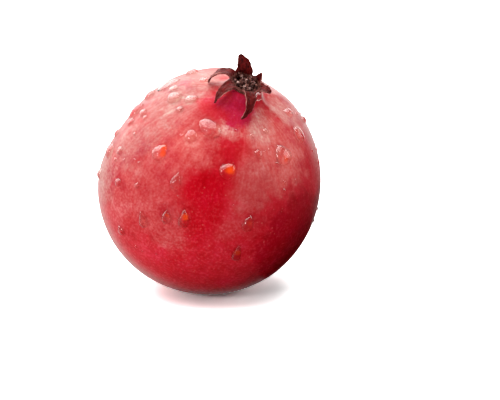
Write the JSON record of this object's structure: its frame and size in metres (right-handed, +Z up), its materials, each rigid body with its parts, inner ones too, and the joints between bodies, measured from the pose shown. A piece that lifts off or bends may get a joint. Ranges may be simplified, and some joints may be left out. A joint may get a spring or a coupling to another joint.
{
  "type": "pomegranate",
  "caption": "Whole ripe pomegranate, red and round, lying a little tipped on a small flat spot, with a dried open crown of curled lobes and drops of water on its rind.",
  "frame": {"origin": "centre of the small flat spot that the fruit rests on", "axes": "+Z up away from the surface; -Y is the side that the crown leans towards, seen in the picture; +X to the right of that view"},
  "size_m": [0.085, 0.0853, 0.0945],
  "materials": {
    "rind": "smooth waxy rind of a ripe fruit, crimson below and rosy pink above, finely speckled, satin and wet in places",
    "crown": "dried woody lobes, dark maroon brown with paler broken edges, matt",
    "stamens": "dried threads and anthers, brown to tan, matt",
    "stem": "cut woody stem end, matt",
    "water": "clear water drops"
  },
  "bodies": {
    "root": {"fruit": "rind", "calyx": "crown", "stamens": "stamens", "stem_stub": "stem", "water_drop_01": "water", "water_drop_02": "water", "water_drop_03": "water", "water_drop_04": "water", "water_drop_05": "water", "water_drop_06": "water", "water_drop_07": "water", "water_drop_08": "water", "water_drop_09": "water", "water_drop_10": "water", "water_drop_11": "water", "water_drop_12": "water", "water_drop_13": "water", "water_drop_14": "water", "water_drop_15": "water", "water_drop_16": "water", "water_drop_17": "water", "water_drop_18": "water", "water_drop_19": "water", "water_drop_20": "water", "water_drop_21": "water", "water_drop_22": "water", "water_drop_23": "water", "water_drop_24": "water", "water_drop_25": "water", "water_drop_26": "water", "water_drop_27": "water", "water_drop_28": "water", "water_drop_29": "water", "water_drop_30": "water", "water_drop_31": "water", "water_drop_32": "water", "water_drop_33": "water", "water_drop_34": "water", "water_drop_35": "water", "water_drop_36": "water", "water_drop_37": "water", "water_drop_38": "water", "water_drop_39": "water", "water_drop_40": "water"}
  },
  "joints": []
}
